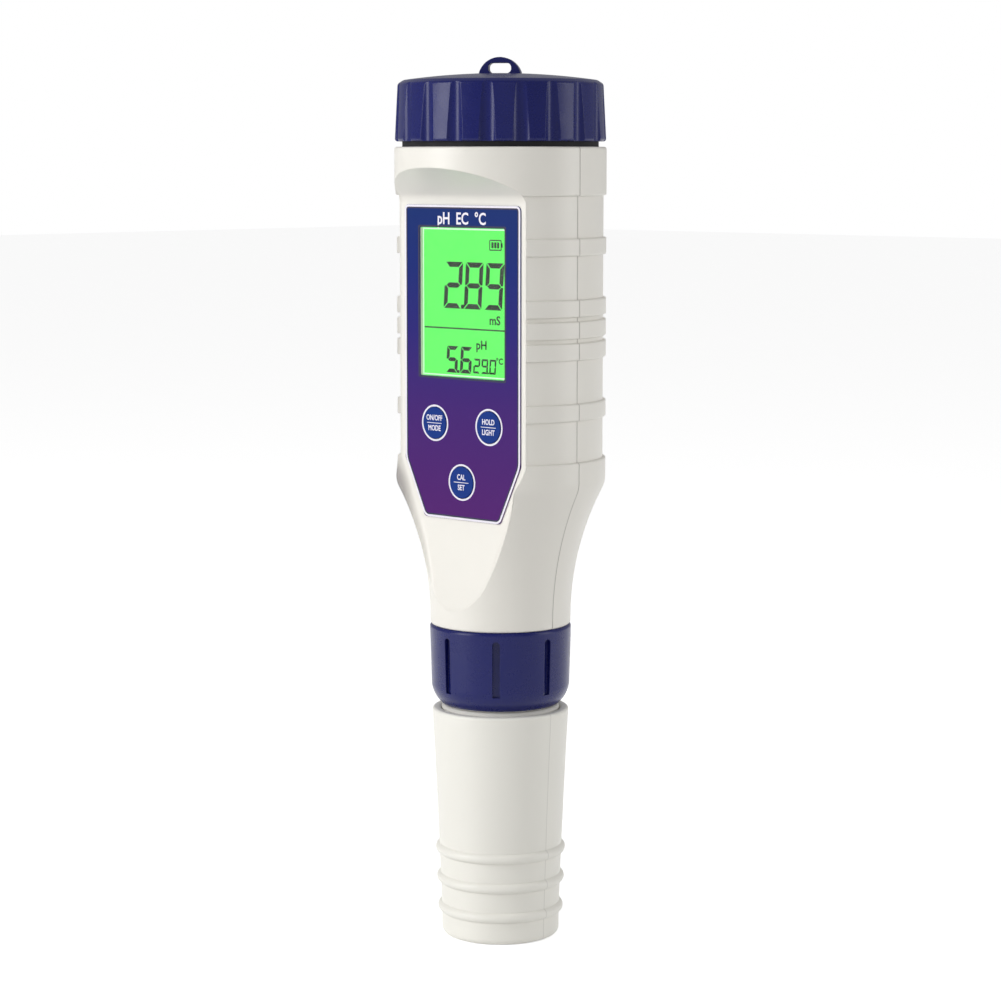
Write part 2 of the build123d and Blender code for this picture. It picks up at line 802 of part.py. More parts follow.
# Probe: plug, flange, sealing ring, guard with windows, sensor chamber
plug_radius = neck_bore - running_gap
plug_top = socket_bottom - running_gap
ring_bottom = flange_bottom - probe_ring_length
plug_seal_height = flange_top + plug_seal_level
cap_seal_height = ring_bottom + cap_seal_level
seals = (
    ("probe_plug_ring", plug_seal_height, neck_bore - seat_gap),
    ("probe_cap_ring", cap_seal_height, cap_radius(cap_seal_height) - cap_wall - running_gap),
)
sensor_places = {
    "bulb": (0, bulb_place),
    "junction": (side_sensor_x, side_sensor_y),
    "temperature": (-side_sensor_x, side_sensor_y),
}
conductivity_places = [
    (-conductivity_spread, conductivity_place), (conductivity_spread, conductivity_place)
]
with BuildPart() as probe_body:
    add(
        revolved(
            (0, plug_top),
            (plug_radius, plug_top),
            (plug_radius, flange_top),
            (neck_spigot_radius, flange_top),
            (neck_spigot_radius, flange_bottom),
            (probe_ring_radius, flange_bottom),
            (probe_ring_radius, ring_bottom),
            (probe_guard_radius, ring_bottom - probe_step),
            (probe_guard_radius, guard_tip),
            (probe_guard_radius - probe_guard_wall, guard_tip),
            (probe_guard_radius - probe_guard_wall, chamber_roof),
            (0, chamber_roof),
        )
    )
    fillet(probe_body.edges().filter_by(GeomType.CIRCLE).group_by(Axis.Z)[0], probe_tip_round)
    with BuildSketch(Plane.XZ):
        with Locations((0, guard_tip + probe_window_low + probe_window_height / 2)):
            SlotOverall(probe_window_height, probe_window_width, rotation=90)
    window = extrude(amount=2 * probe_guard_radius, mode=Mode.PRIVATE)
    with PolarLocations(0, probe_window_count, start_angle=45):
        add(window, mode=Mode.SUBTRACT)
    with BuildSketch(Plane.XY.offset(chamber_roof)):
        with Locations(sensor_places["bulb"]):
            Circle(bulb_stem_radius + seat_gap)
        with Locations(sensor_places["junction"]):
            Circle(junction_radius + seat_gap)
        with Locations(sensor_places["temperature"]):
            Circle(temperature_radius + seat_gap)
        with Locations(conductivity_places):
            Circle(conductivity_radius + seat_gap)
    extrude(amount=sensor_seat, mode=Mode.SUBTRACT)
    for name, level, reach in seals:
        with BuildSketch(Plane.XY.offset(level - seal_section - seat_gap)):
            Circle(2 * probe_ring_radius)
            Circle(reach - 2 * seal_section - seat_gap, mode=Mode.SUBTRACT)
        extrude(amount=2 * (seal_section + seat_gap), mode=Mode.SUBTRACT)
save(probe_body, "probe_body")

# Sealing rings on the probe: one in the neck, one in the protective cap
for name, level, reach in seals:
    with BuildPart() as seal_ring:
        with BuildSketch(Plane.XZ):
            with Locations((reach - seal_section, level)):
                Circle(seal_section)
        revolve(axis=Axis.Z)
    save(seal_ring, name)

# Glass bulb of the pH electrode, hollow, on a hollow stem
bulb_centre = guard_tip + sensor_recess + bulb_radius
stem_top = chamber_roof + sensor_seat - seat_gap
with BuildPart() as ph_bulb:
    for inset, mode in ((0, Mode.ADD), (bulb_wall, Mode.SUBTRACT)):
        with Locations((*sensor_places["bulb"], bulb_centre)):
            Sphere(bulb_radius - inset, mode=mode)
            Cylinder(
                bulb_stem_radius - inset,
                stem_top - bulb_centre,
                align=(Align.CENTER, Align.CENTER, Align.MIN),
                mode=mode,
            )
save(ph_bulb, "ph_bulb")

# Wire in the middle of the bulb
with BuildPart() as ph_inner_wire:
    with BuildSketch(Plane.XY.offset(bulb_centre - wire_reach)):
        with Locations(sensor_places["bulb"]):
            Circle(wire_radius)
    extrude(amount=stem_top - bulb_centre + wire_reach)
save(ph_inner_wire, "ph_inner_wire")

# Porous plug of the reference electrode
with BuildPart() as reference_junction:
    with BuildSketch(Plane.XY.offset(guard_tip + sensor_recess)):
        with Locations(sensor_places["junction"]):
            Circle(junction_radius)
    extrude(amount=stem_top - guard_tip - sensor_recess)
save(reference_junction, "reference_junction")

# Temperature sensor with a rounded metal tip
with BuildPart() as temperature_sensor:
    with BuildSketch(Plane.XY.offset(guard_tip + sensor_recess)):
        with Locations(sensor_places["temperature"]):
            Circle(temperature_radius)
    extrude(amount=stem_top - guard_tip - sensor_recess)
    fillet(temperature_sensor.edges().group_by(Axis.Z)[0], 0.8 * temperature_radius)
save(temperature_sensor, "temperature_sensor")

# Two pins of the conductivity cell
with BuildPart() as conductivity_pins:
    with BuildSketch(Plane.XY.offset(guard_tip + sensor_recess)):
        with Locations(conductivity_places):
            Circle(conductivity_radius)
    extrude(amount=stem_top - guard_tip - sensor_recess)
save(conductivity_pins, "conductivity_pins")

# Contact pins on top of the plug
with BuildPart() as probe_pins:
    with BuildSketch(Plane.XY.offset(plug_top)):
        with PolarLocations(pin_circle, pin_count):
            Circle(pin_radius)
    extrude(amount=pin_reach)
save(probe_pins, "probe_pins")

# Socket in the neck that takes the pins, under the tail of the board
with BuildPart() as probe_socket:
    with BuildSketch(Plane.XY.offset(socket_bottom)):
        Circle(socket_radius)
    extrude(amount=socket_height)
    with BuildSketch(Plane.XY.offset(socket_bottom + socket_height)):
        Circle(socket_block_radius)
    extrude(amount=housing_bottom + board_tail - socket_bottom - socket_height)
    with BuildSketch(Plane.XY.offset(socket_bottom)):
        with PolarLocations(pin_circle, pin_count):
            Circle(pin_radius + running_gap)
    extrude(amount=pin_reach, mode=Mode.SUBTRACT)
save(probe_socket, "probe_socket")

# Protective cap: tapered cup with three rounded rings near its end
with BuildPart() as protective_cap:
    with BuildSketch(Plane.XZ) as cap_outside:
        add(cap_section(0, 0))
        foot = cap_outside.vertices().filter_by(lambda v: v.X > 1 and v.Y < 0.01)
        fillet(foot, cap_base_round)
        rib_levels = [cap_rib_first + step * cap_rib_pitch for step in range(cap_rib_count)]
        with Locations(
            [(cap_radius(z) + cap_rib_proud - cap_rib_height / 2, z) for z in rib_levels]
        ):
            Circle(cap_rib_height / 2)
    revolve(axis=Axis.Z)
    with BuildSketch(Plane.XZ):
        add(cap_section(cap_wall, cap_floor))
    revolve(axis=Axis.Z, mode=Mode.SUBTRACT)
    fillet(protective_cap.edges().group_by(Axis.Z)[-1], cap_rim_round)
save(protective_cap, "protective_cap")

# Damp foam disc in the bottom of the cap
with BuildPart() as storage_sponge:
    with BuildSketch(Plane.XY.offset(cap_floor + seat_gap)):
        Circle(cap_tip_radius - cap_wall - loose_gap)
    extrude(amount=sponge_height)
save(storage_sponge, "storage_sponge")
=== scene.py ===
import bpy
import bmesh
from math import cos, pi, radians, sin
from mathutils import Matrix, Vector


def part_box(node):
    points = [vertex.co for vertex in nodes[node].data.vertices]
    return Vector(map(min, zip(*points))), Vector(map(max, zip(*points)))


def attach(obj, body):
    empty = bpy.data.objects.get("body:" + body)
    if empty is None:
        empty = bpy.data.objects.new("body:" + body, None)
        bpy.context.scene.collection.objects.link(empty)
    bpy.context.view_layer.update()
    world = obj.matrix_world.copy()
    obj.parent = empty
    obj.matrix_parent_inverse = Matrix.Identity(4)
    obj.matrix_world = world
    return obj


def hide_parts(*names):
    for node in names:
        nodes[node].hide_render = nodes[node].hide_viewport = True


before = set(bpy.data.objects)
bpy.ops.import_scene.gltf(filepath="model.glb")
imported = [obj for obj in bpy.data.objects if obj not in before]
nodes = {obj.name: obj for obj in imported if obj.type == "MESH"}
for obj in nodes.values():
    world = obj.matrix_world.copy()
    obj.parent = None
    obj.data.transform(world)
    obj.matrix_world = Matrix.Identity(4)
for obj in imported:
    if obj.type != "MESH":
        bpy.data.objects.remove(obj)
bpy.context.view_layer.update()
scene = bpy.context.scene
mm = 0.001

# the photograph's camera, fitted to the ellipses of the caps
view = {
    "azimuth": 43.0,
    "distance": 540.9 * mm,
    "height": 149.85 * mm,
    "pitch": 6.91,
    "lens": 102.5,
    "sensor": 36.0,
    "clip": 0.01,
}
cameraData = bpy.data.cameras.new("camera")
cameraData.lens = view["lens"]
cameraData.sensor_width = view["sensor"]
cameraData.clip_start = view["clip"]
camera = bpy.data.objects.new("camera", cameraData)
turn = radians(view["azimuth"])
camera.location = (view["distance"] * sin(turn), -view["distance"] * cos(turn), view["height"])
camera.rotation_euler = (radians(90 - view["pitch"]), 0, turn)
scene.collection.objects.link(camera)
scene.camera = camera
scene.view_settings.view_transform = "Standard"
print("camera placed")


class Value:
    # one number over the surface, with ordinary arithmetic
    def __init__(self, graph, socket):
        self.graph = graph
        self.socket = socket

    def join(self, operation, *others):
        inputs = dict(enumerate([self] + list(others)))
        return self.graph.add("ShaderNodeMath", {"operation": operation}, inputs)

    def __add__(self, other):
        return self.join("ADD", other)

    def __mul__(self, other):
        return self.join("MULTIPLY", other)

    def __sub__(self, other):
        return self.join("SUBTRACT", other)

    def __rsub__(self, other):
        return (self * -1) + other

    def __truediv__(self, other):
        return self.join("DIVIDE", other)

    def __abs__(self):
        return self.join("ABSOLUTE")

    __radd__ = __add__

    def between(self, low, high):
        # 0 below low, 1 above high, smooth in between
        return self.graph.add(
            "ShaderNodeMapRange",
            {"interpolation_type": "SMOOTHSTEP"},
            {"Value": self, "From Min": low, "From Max": high},
        )


class Finish:
    # a node material that is built up by adding nodes
    def __init__(self, name):
        self.material = bpy.data.materials.new(name)
        self.material.use_nodes = True
        self.tree = self.material.node_tree
        self.shader = self.tree.nodes["Principled BSDF"]

    def add(self, kind, settings=None, sockets=None, out=0):
        node = self.tree.nodes.new(kind)
        for name, value in (settings or {}).items():
            if name == "stops":
                self.fillRamp(node.color_ramp, value)
            else:
                setattr(node, name, value)
        for name, value in (sockets or {}).items():
            self.feed(node.inputs[name], value)
        return Value(self, node.outputs[out])

    def feed(self, socket, value):
        if isinstance(value, Value):
            self.tree.links.new(value.socket, socket)
        else:
            socket.default_value = value

    def fillRamp(self, ramp, stops):
        while len(ramp.elements) < len(stops):
            ramp.elements.new(0.5)
        for element, (place, colour) in zip(ramp.elements, stops):
            element.position = place
            element.color = (*colour, 1)

    def point(self):
        return self.add("ShaderNodeTexCoord", out="Object")

    def axes(self):
        point = self.point()
        return [self.add("ShaderNodeSeparateXYZ", None, {0: point}, out) for out in range(3)]

    def noise(self, scale, detail=3.0, roughness=0.5):
        return self.add(
            "ShaderNodeTexNoise",
            None,
            {"Vector": self.point(), "Scale": scale, "Detail": detail, "Roughness": roughness},
        )

    def gloss(self, look):
        # a roughness that varies a little over the surface
        return look["rough"] + self.noise(look["glossScale"]) * look["swing"]

    def mix(self, factor, first, second):
        return self.add(
            "ShaderNodeMix",
            {"data_type": "RGBA"},
            {0: factor, 6: paint(first), 7: paint(second)},
            out=2,
        )

    def rounded(self, radius):
        # the normal with sharp edges softened over a small radius
        return self.add("ShaderNodeBevel", {"samples": 6}, {"Radius": radius * mm})

    def bump(self, height, strength, distance, below=None):
        sockets = {"Height": height, "Strength": strength, "Distance": distance * mm}
        if below is not None:
            sockets["Normal"] = below
        return self.add("ShaderNodeBump", None, sockets)

    def set(self, **sockets):
        for name, value in sockets.items():
            self.feed(self.shader.inputs[name.replace("_", " ")], paint(value))
        return self.material


def paint(value):
    # colours are written as three numbers
    if isinstance(value, tuple) and len(value) == 3:
        return (*value, 1)
    return value


def srgb(red, green, blue):
    # a colour read off as 0 to 255, turned to linear light
    return tuple(
        part / 12.92 if part <= 0.04045 else ((part + 0.055) / 1.055) ** 2.4
        for part in (red / 255, green / 255, blue / 255)
    )


def shaded(colour, share):
    return tuple(min(1, part * share) for part in colour)


# what all moulded plastic shares
mould = {
    "driftScale": 45, "driftDetail": 2, "grainDetail": 4, "grainRough": 0.6, "glossScale": 260,
    "glossSwing": 0.12, "textureSwing": 0.08, "bump": 0.35, "shine": 0.5,
}


def mouldedPlastic(name, look, seam=None):
    # moulded plastic: faint tone drift, fine texture, uneven gloss, soft edges, and on a seam a
    # line darkened with painted shade over a bumped groove or ridge
    finish = Finish(name)
    drift = finish.noise(mould["driftScale"], mould["driftDetail"])
    dark = shaded(look["colour"], 1 - look["mottle"])
    light = shaded(look["colour"], 1 + look["mottle"])
    tone = finish.mix(drift, dark, light)
    texture = finish.noise(look["grain"], mould["grainDetail"], mould["grainRough"])
    height = texture
    if seam:
        x, y = finish.axes()[:2]
        line = 1 - abs(y).between(seam["width"] * mm / 4, seam["width"] * mm)
        if seam.get("side"):
            line = line * x.between(0, seam["side"] * mm)
        # along the seam line the tone is darkened towards the seam's grey: painted shade in the
        # seam
        tone = finish.mix(line * seam["depth"], tone, seam["colour"])
        height = texture - line * seam["groove"]
    uneven = (finish.noise(mould["glossScale"]) - 0.5) * mould["glossSwing"]
    gloss = look["rough"] + uneven + (texture - 0.5) * mould["textureSwing"]
    normal = finish.bump(height, mould["bump"], look["depth"], finish.rounded(look["edge"]))
    finish.set(Specular_IOR_Level=look.get("shine", mould["shine"]))
    return finish.set(Base_Color=tone, Roughness=gloss, Normal=normal)


# what all plated metal shares
plating = {
    "stretch": 12, "detail": 4, "dark": 0.8, "swing": 0.2, "bump": 0.2, "depth": 0.01, "edge": 0.08,
}


def metal(name, colour, rough, streak):
    # plated metal with fine streaks along the object's height
    finish = Finish(name)
    scales = (streak, streak, streak / plating["stretch"])
    point = finish.add("ShaderNodeMapping", None, {"Vector": finish.point(), "Scale": scales})
    grain = finish.add(
        "ShaderNodeTexNoise", None, {"Vector": point, "Scale": 1.0, "Detail": plating["detail"]}
    )
    softened = finish.rounded(plating["edge"])
    return finish.set(
        Base_Color=finish.mix(grain, shaded(colour, plating["dark"]), colour),
        Metallic=1.0,
        Roughness=rough + (grain - 0.5) * plating["swing"],
        Normal=finish.bump(grain, plating["bump"], plating["depth"], softened),
    )


def clearMaterial(name, look):
    # glass or clear plastic
    finish = Finish(name)
    return finish.set(
        Base_Color=look["colour"],
        Roughness=finish.gloss(look),
        Transmission_Weight=1.0,
        IOR=look["bending"],
    )


def dress(material, *names):
    for name in names:
        slots = nodes[name].data.materials
        if slots:
            slots[0] = material
        else:
            slots.append(material)


def newPiece(name, build, body, material, slot, smooth=False):
    # closes a bmesh into a piece that rides on a body
    bmesh.ops.recalc_face_normals(build, faces=build.faces)
    mesh = bpy.data.meshes.new(name)
    build.to_mesh(mesh)
    build.free()
    for face in mesh.polygons:
        face.use_smooth = smooth
    mesh.materials.append(material)
    piece = bpy.data.objects.new(name, mesh)
    scene.collection.objects.link(piece)
    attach(piece, body)
    return piece


# print: how far it stands up, how bold its words are, and how finely it is cut
printRise = 0.025
printLook = {"weight": 0.02, "curveSteps": 3, "cornerSteps": 6, "weld": 0.0000005}
facing = Matrix.Rotation(pi / 2, 4, "X")


def rectangle(left, right, low, high):
    return [(left, high), (left, low), (right, low), (right, high)]


def flatFace(build, corners, depth):
    # one face seen from the front, from corners in millimetres
    return build.faces.new([build.verts.new((x * mm, -depth * mm, z * mm)) for x, z in corners])


def thicken(build, amount):
    # gives flat print a little body, towards the viewer
    made = bmesh.ops.extrude_face_region(build, geom=build.faces[:])
    moved = [part for part in made["geom"] if isinstance(part, bmesh.types.BMVert)]
    bmesh.ops.translate(build, verts=moved, vec=(0, -amount * mm, 0))


def roundCorners(build, radius):
    bmesh.ops.bevel(
        build,
        geom=build.verts[:],
        offset=radius * mm,
        offset_type="OFFSET",
        segments=printLook["cornerSteps"],
        profile=0.5,
        affect="VERTICES",
        material=-1,
    )


def inset(build, faces, amount):
    # insets lone faces, or widens them where amount is below 0, and gives the ring
    made = bmesh.ops.inset_region(
        build,
        faces=faces,
        thickness=abs(amount) * mm,
        use_boundary=True,
        use_outset=amount < 0,
        use_even_offset=True,
    )
    return made["faces"]


def printedLine(name, corners, depth, line, radius, body, material, slot):
    # a printed line that follows an outline, between two distances inside it
    build = bmesh.new()
    flatFace(build, corners, depth)
    if radius:
        roundCorners(build, radius)
    start, stop = line
    inner = build.faces[:]
    if start:
        outer = set(inset(build, inner, start))
        inner = [face for face in build.faces if face not in outer]
    kept = set(inset(build, inner, stop - start))
    gone = [face for face in build.faces if face not in kept]
    bmesh.ops.delete(build, geom=gone, context="FACES")
    thicken(build, printRise)
    return newPiece(name, build, body, material, slot)


def printedPatches(name, patches, depth, body, material, slot):
    # flat printed shapes, each from its own corners
    build = bmesh.new()
    for corners in patches:
        flatFace(build, corners, depth)
    thicken(build, printRise)
    return newPiece(name, build, body, material, slot)


def printedText(name, words, size, place, depth, body, material, slot, tall=1.0):
    # words as thin print on a front face, centred on a place
    curve = bpy.data.curves.new(name, "FONT")
    curve.body = words
    curve.size = size * mm
    curve.align_x = "CENTER"
    curve.align_y = "CENTER"
    curve.resolution_u = printLook["curveSteps"]
    curve.extrude = printRise * mm / 2
    curve.offset = printLook["weight"] * size * mm
    holder = bpy.data.objects.new(name, curve)
    scene.collection.objects.link(holder)
    mesh = bpy.data.meshes.new_from_object(
        holder.evaluated_get(bpy.context.evaluated_depsgraph_get())
    )
    bpy.data.objects.remove(holder)
    x, z = place
    moved = Matrix.Translation((x * mm, -(depth + printRise / 2) * mm, z * mm))
    mesh.transform(moved @ facing @ Matrix.Diagonal((1, tall, 1, 1)))
    build = bmesh.new()
    build.from_mesh(mesh)
    bmesh.ops.remove_doubles(build, verts=build.verts[:], dist=printLook["weld"])
    return newPiece(name, build, body, material, slot)


# heights and depths that the CAD settles
windowLow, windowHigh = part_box("display_window")
labelLow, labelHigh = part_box("panel_label")
labelFace = -labelLow.y / mm
glassFace = -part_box("lcd_panel")[0].y / mm

# housing, protective cap and probe: warm white plastic, with a parting line darkened by painted
# shade in the seam
shellLook = {
    "colour": srgb(236, 233, 225), "rough": 0.36, "grain": 5200, "depth": 0.02, "edge": 0.35,
    "mottle": 0.012,
}
# the parting line's grey is painted shade in the seam between the shells, laid over a bumped groove
partingLineShadeAndGroove = {"width": 0.14, "depth": 0.45, "colour": srgb(120, 115, 108), "groove": 3.0}
shellPlastic = mouldedPlastic("shellPlastic", shellLook, partingLineShadeAndGroove)
dress(shellPlastic, "front_shell", "rear_shell")
# the cap's raised mould seam is darkened grey: painted shade along the ridge, over a bumped ridge
capSeamShadeAndRidge = {
    "width": 0.12, "depth": 0.3, "colour": srgb(150, 146, 138), "groove": -2.0, "side": 4.0,
}
capLook = {**shellLook, "colour": srgb(238, 236, 228), "rough": 0.4}
dress(mouldedPlastic("capPlastic", capLook, capSeamShadeAndRidge), "protective_cap")
dress(mouldedPlastic("probePlastic", {**capLook, "rough": 0.32}), "probe_body")

# navy caps, slightly coarser
navyLook = {
    "colour": srgb(12, 20, 92), "rough": 0.28, "grain": 3600, "depth": 0.03, "edge": 0.25,
    "mottle": 0.1, "shine": 0.32,
}
dress(mouldedPlastic("navyPlastic", navyLook), "battery_cap", "locking_collar")

# dark inner plastics, rubber, and the pale ring under the protective cap
blackLook = {**navyLook, "colour": srgb(30, 30, 33), "rough": 0.5, "edge": 0.1}
dress(
    mouldedPlastic("blackPlastic", blackLook),
    "display_frame", "battery_tray", "probe_socket", "board_chips",
    "switch_stem_left", "switch_stem_right", "switch_stem_lower",
)
rubberLook = {**blackLook, "colour": srgb(38, 38, 40), "rough": 0.75, "grain": 2400}
dress(
    mouldedPlastic("rubber", rubberLook),
    "cap_seal_ring", "contact_strips", "probe_plug_ring",
)
siliconeLook = {**rubberLook, "colour": srgb(214, 212, 206), "rough": 0.55}
dress(mouldedPlastic("paleSilicone", siliconeLook), "probe_cap_ring")

# metals: colour, roughness and how fine the streaks are
dress(metal("springSteel", srgb(196, 198, 202), 0.3, 900), "cap_contact_plate", "battery_contacts")
dress(metal("cellSteel", srgb(205, 206, 208), 0.25, 700), "button_cells", "key_switches")
dress(metal("screwSteel", srgb(170, 172, 178), 0.35, 1200), "board_screws", "temperature_sensor")
dress(metal("brass", srgb(214, 178, 92), 0.3, 1200), "probe_pins")
dress(metal("silverWire", srgb(222, 222, 218), 0.25, 1500), "ph_inner_wire", "conductivity_pins")

# circuit board lacquer with copper runs showing through
boardLook = {
    "scale": 420, "run": 0.03, "copper": srgb(46, 128, 72), "lacquer": srgb(16, 84, 44),
    "rough": 0.35, "swing": 0.1, "bump": 0.3, "depth": 0.03,
}
board = Finish("boardLacquer")
runs = abs(board.noise(boardLook["scale"], 0) - 0.5).between(0.0, boardLook["run"])
board.set(
    Base_Color=board.mix(runs, boardLook["copper"], boardLook["lacquer"]),
    Roughness=boardLook["rough"] + runs * boardLook["swing"],
    Normal=board.bump(runs, boardLook["bump"], boardLook["depth"]),
)
dress(board.material, "main_board")

# milky diffuser behind the display
diffuserLook = {
    "dark": srgb(225, 245, 225), "light": srgb(240, 252, 240), "scale": 150,
    "rough": 0.5, "glossScale": 900, "swing": 0.1,
}
diffuser = Finish("diffuser")
milk = diffuser.noise(diffuserLook["scale"])
diffuser.set(
    Base_Color=diffuser.mix(milk, diffuserLook["dark"], diffuserLook["light"]),
    Roughness=diffuser.gloss(diffuserLook),
)
dress(diffuser.material, "backlight_panel")

# porous ceramic plug
ceramicLook = {
    "scale": 3000, "detail": 5, "fine": 0.7, "dark": srgb(205, 200, 188),
    "light": srgb(240, 236, 226), "rough": 0.8, "swing": 0.2, "bump": 0.5, "depth": 0.04,
}
ceramic = Finish("porousCeramic")
pores = ceramic.noise(ceramicLook["scale"], ceramicLook["detail"], ceramicLook["fine"])
ceramic.set(
    Base_Color=ceramic.mix(pores, ceramicLook["dark"], ceramicLook["light"]),
    Roughness=ceramicLook["rough"] + (pores - 0.5) * ceramicLook["swing"],
    Normal=ceramic.bump(pores, ceramicLook["bump"], ceramicLook["depth"]),
)
dress(ceramic.material, "reference_junction")

# glass bulb, and a window thin enough to bend the light very little
bulbLook = {
    "colour": (0.95, 0.98, 0.97), "rough": 0.03, "glossScale": 400, "swing": 0.03, "bending": 1.47,
}
dress(clearMaterial("bulbGlass", bulbLook), "ph_bulb")
paneLook = {
    "colour": (1.0, 1.0, 1.0), "rough": 0.02, "glossScale": 500, "swing": 0.03, "bending": 1.07,
}
dress(clearMaterial("windowPane", paneLook), "display_window")

# display glass, lit green from behind
displayLook = {
    "green": srgb(88, 250, 88), "rim": srgb(60, 225, 70), "unlit": srgb(10, 40, 12),
    "scale": 60, "detail": 1, "even": 0.75, "rough": 0.4, "glossScale": 700, "swing": 0.05,
}
glass = Finish("displayGlass")
patches = glass.noise(displayLook["scale"], displayLook["detail"])
glow = glass.mix(patches, displayLook["rim"], displayLook["green"])
glass.set(
    Base_Color=displayLook["unlit"],
    Roughness=glass.gloss(displayLook),
    Emission_Color=glass.mix(displayLook["even"], glow, displayLook["green"]),
    Emission_Strength=1.0,
)
dress(glass.material, "lcd_panel")

# label film: blue at the top running to purple at the foot, on a fine screen
filmLook = {
    "screen": 5000, "screenDetail": 2, "dots": srgb(96, 80, 160), "dotShare": 0.05,
    "rough": 0.5, "swing": 0.12, "shine": 0.12, "bump": 0.15, "depth": 0.01,
}
labelStops = [
    (0.0, srgb(78, 22, 104)),
    (0.35, srgb(62, 26, 108)),
    (0.6, srgb(34, 28, 112)),
    (0.8, srgb(6, 34, 110)),
    (1.0, srgb(0, 40, 104)),
]
label = Finish("labelFilm")
labelZ = label.axes()[2]
climb = (labelZ - labelLow.z) / (labelHigh.z - labelLow.z)
shade = label.add("ShaderNodeValToRGB", {"stops": labelStops}, {0: climb})
screenDots = label.noise(filmLook["screen"], filmLook["screenDetail"])
label.set(
    Base_Color=label.mix(screenDots * filmLook["dotShare"], shade, filmLook["dots"]),
    Roughness=filmLook["rough"] + (screenDots - 0.5) * filmLook["swing"],
    Specular_IOR_Level=filmLook["shine"],
    Normal=label.bump(screenDots, filmLook["bump"], filmLook["depth"]),
)
dress(label.material, "panel_label")

# button domes in a clearer blue
buttonLook = {
    **navyLook, "colour": srgb(12, 50, 128), "rough": 0.45, "mottle": 0.06, "edge": 0.15,
    "shine": 0.12,
}
dress(mouldedPlastic("buttonBlue", buttonLook), "button_left", "button_right", "button_lower")
print("materials made")

# printed inks, with a slightly uneven film
inkFilm = {"scale": 2500, "dark": 0.9, "swing": 0.15}


def ink(name, colour, rough=0.5):
    finish = Finish(name)
    film = finish.noise(inkFilm["scale"])
    return finish.set(
        Base_Color=finish.mix(film, shaded(colour, inkFilm["dark"]), colour),
        Roughness=rough + (film - 0.5) * inkFilm["swing"],
    )


whiteInk = ink("whiteInk", srgb(240, 236, 246))
navyInk = ink("navyInk", srgb(12, 10, 60))
segmentInk = ink("segmentInk", srgb(6, 26, 8), 0.6)

# the pale light that shows round the figures
paleLook = {
    "unlit": srgb(20, 60, 20), "dark": srgb(205, 250, 205), "light": srgb(235, 255, 235),
    "scale": 900, "rough": 0.5, "glossScale": 1200, "swing": 0.1,
}
pale = Finish("segmentEdge")
paleInk = pale.set(
    Base_Color=paleLook["unlit"],
    Emission_Color=pale.mix(pale.noise(paleLook["scale"]), paleLook["dark"], paleLook["light"]),
    Roughness=pale.gloss(paleLook),
    Emission_Strength=1.0,
)

# what each kind of print rides on, is printed with, and the slot name it carries
whiteOnLabel = ("housing", whiteInk, "label_film")
navyOnLabel = ("housing", navyInk, "label_film")
darkOnDisplay = ("housing", segmentInk, "display_glass")
paleOnDisplay = ("housing", paleInk, "display_glass")

# label border: a white line at the edge and a navy line inside it
labelLook = {
    "taper": 92.5, "footHalf": 9.75, "corner": 1.0, "white": (0.02, 0.42), "navy": (0.42, 0.72),
}
labelHalf = labelHigh.x / mm
labelTop = labelHigh.z / mm
labelFoot = labelLow.z / mm
labelCorners = [
    (-labelHalf, labelTop),
    (-labelHalf, labelLook["taper"]),
    (-labelLook["footHalf"], labelFoot),
    (labelLook["footHalf"], labelFoot),
    (labelHalf, labelLook["taper"]),
    (labelHalf, labelTop),
]
for name, line, printing in (
    ("label_border", labelLook["white"], whiteOnLabel),
    ("label_inner_line", labelLook["navy"], navyOnLabel),
):
    printedLine(name, labelCorners, labelFace, line, labelLook["corner"], *printing)

# window edge: navy round the opening, and a pale line on the display glass
windowLook = {"border": 0.45, "navy": (0, 0.37), "corner": 0.4, "litInset": 0.1, "lit": (0.05, 0.3)}
windowHalf = windowHigh.x / mm
windowTop = windowHigh.z / mm
windowFoot = windowLow.z / mm


def windowOutline(outward):
    # the window's outline, widened or narrowed all round
    return rectangle(
        -windowHalf - outward, windowHalf + outward, windowFoot - outward, windowTop + outward
    )


printedLine(
    "window_surround", windowOutline(windowLook["border"]), labelFace, windowLook["navy"],
    windowLook["corner"], *navyOnLabel,
)
printedLine(
    "display_edge", windowOutline(-windowLook["litInset"]), glassFace, windowLook["lit"],
    0, *paleOnDisplay,
)
print("label printed")

# seven-segment figures: the bars that each figure lights, and the shape of a bar
litBars = {
    "2": "abged", "8": "abcdefg", "9": "abcdfg", "5": "afgcd", "6": "afgecd", "0": "abcdef",
}
barShape = {"shoulder": 0.45, "notch": 0.6, "waist": 0.35, "lift": 0.006, "edgeRise": 0.004}


def barCorners(bar, look):
    # corners of one bar of a figure whose lower left is the origin
    width, height, thick, gap = (look[part] for part in ("width", "height", "thick", "gap"))
    middle = height / 2
    near = thick + gap
    far = width - thick - gap
    cap = [(gap, height), (near, height - thick), (far, height - thick), (width - gap, height)]
    upright = [
        (0, height - gap),
        (0, middle + gap),
        (thick * barShape["shoulder"], middle + gap * barShape["notch"]),
        (thick, middle + thick / 2 + gap),
        (thick, height - thick - gap),
    ]
    waist = [
        (gap + thick * barShape["waist"], middle),
        (near, middle - thick / 2),
        (far, middle - thick / 2),
        (width - gap - thick * barShape["waist"], middle),
        (far, middle + thick / 2),
        (near, middle + thick / 2),
    ]
    if bar == "g":
        return waist
    corners = cap if bar in "ad" else upright
    if bar in "bc":
        corners = [(width - x, z) for x, z in corners]
    if bar in "cde":
        corners = [(x, height - z) for x, z in corners]
    return corners


